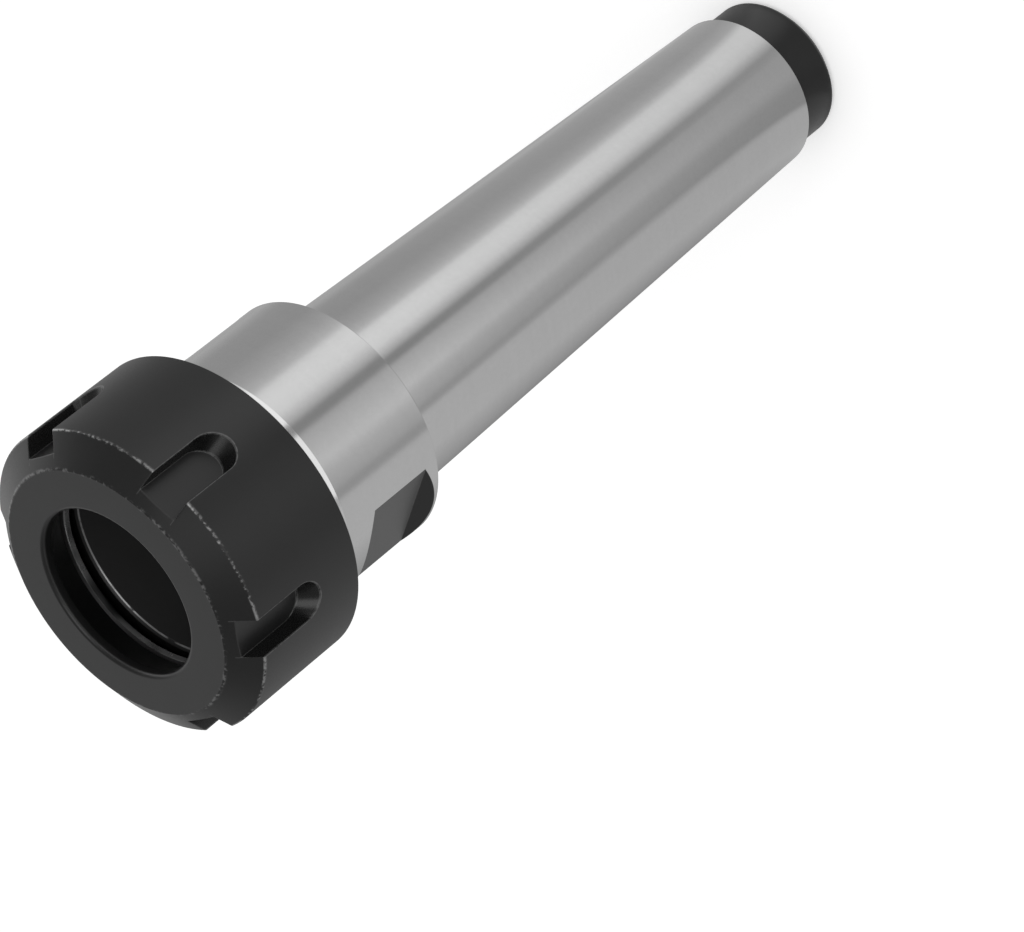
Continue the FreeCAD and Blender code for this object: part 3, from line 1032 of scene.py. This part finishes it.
pale_floor = bpy.data.materials.new("pale_floor")
board = empty_board(pale_floor)
seen = board.add("ShaderNodeLightPath").output("Is Camera Ray")
matt = board.add("ShaderNodeBsdfDiffuse", {}, {"Color": grey(FLOOR_COLOUR)})
glow = board.add("ShaderNodeEmission", {}, {"Color": grey(1.0), "Strength": seen * FLOOR_GLOW})
both = board.add("ShaderNodeAddShader", {}, {0: matt, 1: glow})
board.add("ShaderNodeOutputMaterial", {}, {"Surface": both})
floor = add_object("floor", disc_mesh("floor", FLOOR_RADIUS, FLOOR_CORNERS))
floor.data.materials.append(pale_floor)
print("floor", 2 * FLOOR_RADIUS, "m across")

# %% [markdown]
# ## Cards for the steel to mirror
# Bright metal shows its surroundings more than itself, so a polished rod is lit by what stands
# round it. A ring of grey and white card lies on the floor and bends up into a low wall. A
# white stretch gives one broad stripe along the shank, and a narrow dark stretch a thin line.
# The greys are set at a few stops round the ring, and run evenly from each stop to the next.
# The shank's tail mirrors the card close by, and the collar mirrors it farther out, so each
# has stops of its own. Only reflections see the card: it casts no light or shadow, and the
# camera looks through it.

# %% Lay the card round the chuck
CARD_RADII = (13.0, 150.0, 400.0, 900.0, 918.0)
CARD_LIFT = 0.6
CARD_WALL = 600.0
CARD_START_DEGREES = 85
CARD_COLUMNS = 361
# an azimuth in degrees and the card's grey there: near the chuck, farther out, on the wall
NEAR_STOPS = [
    (85, 0.20), (150, 0.55), (197, 0.55), (202, 0.35), (220, 0.35), (235, 0.45), (255, 0.45),
    (265, 0.40), (278, 0.75), (290, 0.85), (303, 0.85), (313, 0.55), (330, 0.45), (370, 0.50),
    (386, 0.60), (390, 0.45),
]
FAR_STOPS = [
    (85, 0.25), (150, 0.60), (194, 0.60), (197, 0.40), (202, 0.40), (206, 0.50), (220, 0.60),
    (229, 0.75), (255, 0.55), (258, 0.30), (265, 0.30), (268, 0.55), (280, 0.95), (292, 1.00),
    (302, 0.95), (307, 0.65), (320, 0.50), (340, 0.40), (370, 0.40), (392, 0.50), (397, 0.45),
]
WALL_STOPS = [
    (149, 0.35), (151, 0.70), (192, 0.70), (195, 0.55), (201, 0.55), (203, 1.20), (256, 1.20),
    (258, 0.35), (267, 0.35), (269, 1.30), (307, 1.30), (312, 1.00), (340, 0.80), (346, 1.70),
    (378, 1.70), (386, 0.80),
]


def grey_at(stops, azimuth):
    """The grey at an azimuth, on a straight run from one stop to the next."""
    azimuth = max(azimuth, stops[0][0])
    for (low, start), (high, end) in zip(stops, stops[1:]):
        if azimuth <= high:
            return start + (end - start) * (azimuth - low) / (high - low)
    return stops[-1][1]


def card_mesh():
    """A ring of faces on the floor and up the wall, with a grey stored on each point."""
    rows = len(CARD_RADII)
    points, greys, faces = [], [], []
    for column in range(CARD_COLUMNS):
        azimuth = CARD_START_DEGREES + column
        turn = math.radians(azimuth)
        near, far, wall = [grey_at(stops, azimuth) for stops in (NEAR_STOPS, FAR_STOPS, WALL_STOPS)]
        for radius, level in zip(CARD_RADII, (near, far, far, wall, wall)):
            height = CARD_WALL if radius == CARD_RADII[-1] else CARD_LIFT
            points.append(Vector((radius * math.cos(turn), radius * math.sin(turn), height)) * MM)
            greys.append(level)
    for column in range(CARD_COLUMNS - 1):
        for row in range(rows - 1):
            first = column * rows + row
            faces.append((first, first + 1, first + rows + 1, first + rows))
    mesh = bpy.data.meshes.new("card_ring")
    mesh.from_pydata(points, [], faces)
    level = mesh.attributes.new("grey", "FLOAT", "POINT")
    level.data.foreach_set("value", greys)
    return mesh


card_paper = bpy.data.materials.new("card_paper")
board = empty_board(card_paper)
level = board.add("ShaderNodeAttribute", {"attribute_name": "grey"}).output("Fac")
glow = board.add("ShaderNodeEmission", {}, {"Color": grey(1.0), "Strength": level})
board.add("ShaderNodeOutputMaterial", {}, {"Surface": glow})
card_ring = add_object("card_ring", card_mesh())
card_ring.data.materials.append(card_paper)
card_ring.visible_camera = card_ring.visible_diffuse = card_ring.visible_shadow = False
card_ring.visible_transmission = False
print("card ring with", len(card_ring.data.polygons), "faces")

# %% [markdown]
# ## The soft boxes and the room
# One large soft box hangs behind the camera, high up, so that edges that face up catch it, and
# a fainter one hangs opposite, where the nut's flat face mirrors it. The room is an even soft
# light. The camera sees it as white, and reflections see it as a dim grey above the cards.

# %% Light the scene
ROOM_LIGHT = 0.62
ROOM_MIRRORED = 0.25
SOFT_BOXES = [
    # name, azimuth, elevation, distance, width, watts
    ("soft_box", 250.0, 58.0, 1.5, 1.0, 5.0),
    ("far_soft_box", 71.0, 35.0, 1.6, 1.0, 0.8),
]
world = bpy.data.worlds.new("room")
bpy.context.scene.world = world
board = empty_board(world)
ray = board.add("ShaderNodeLightPath")
camera_ray, glossy_ray = ray.output("Is Camera Ray"), ray.output("Is Glossy Ray")
mirrored = glossy_ray.most(ray.output("Is Transmission Ray"))
strength = mix(camera_ray, mix(mirrored, ROOM_LIGHT, ROOM_MIRRORED), 1.0)
sky = board.add("ShaderNodeBackground", {}, {"Color": grey(1.0), "Strength": strength})
board.add("ShaderNodeOutputWorld", {}, {"Surface": sky})
for name, azimuth, elevation, distance, width, watts in SOFT_BOXES:
    lamp = add_object(name, bpy.data.lights.new(name, "AREA"))
    lamp.data.size = width
    lamp.data.energy = watts
    away = direction(azimuth, elevation)
    lamp.location = AIM + distance * away
    lamp.rotation_euler = away.to_track_quat("Z", "Y").to_euler()
bpy.context.scene.view_settings.view_transform = "Standard"
print("lamps:", [box[0] for box in SOFT_BOXES])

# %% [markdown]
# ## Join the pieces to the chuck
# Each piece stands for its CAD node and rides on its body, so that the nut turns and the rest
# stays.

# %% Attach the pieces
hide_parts("chuck_body")
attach(body, "holder")
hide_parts("clamping_nut")
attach(nut, "nut")
